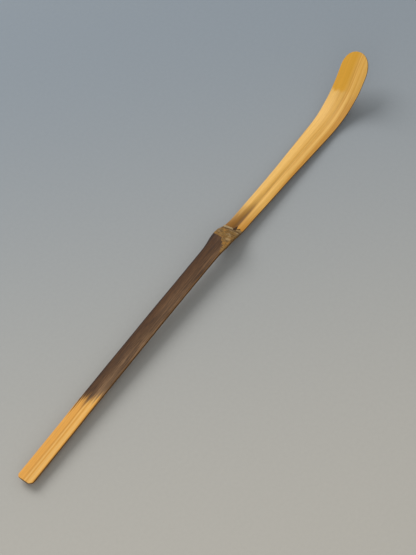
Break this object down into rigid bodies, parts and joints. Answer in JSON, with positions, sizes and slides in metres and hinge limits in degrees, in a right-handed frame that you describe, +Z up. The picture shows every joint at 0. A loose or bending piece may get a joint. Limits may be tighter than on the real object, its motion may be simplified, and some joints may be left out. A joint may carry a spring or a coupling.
{
  "type": "tea scoop",
  "caption": "Slim bamboo scoop for powdered tea: smoke-darkened handle, node in the middle, grooved stem and a steam-bent rounded tip.",
  "frame": {"origin": "under the middle of the scoop's box, on the surface that it lies on", "axes": "+X along the scoop from the cut end of the handle to the tip, +Y to its left, +Z up out of the skin"},
  "size_m": [0.1748, 0.0092, 0.0149],
  "materials": {
    "bamboo_flesh": "knife-cut, satin",
    "golden_rind": "waxy natural skin, satin",
    "smoked_rind": "smoke-darkened skin, satin",
    "node_tissue": "rough, corky",
    "bud_scar": "rough, dark"
  },
  "bodies": {
    "root": {"handle_core": "bamboo_flesh", "handle_rind_pale": "golden_rind", "handle_rind_smoked": "smoked_rind", "node_ring": "smoked_rind", "diaphragm_stub": "node_tissue", "sheath_scar": "node_tissue", "bud_scar": "bud_scar", "stem_core": "bamboo_flesh", "stem_rind": "golden_rind"}
  },
  "joints": []
}
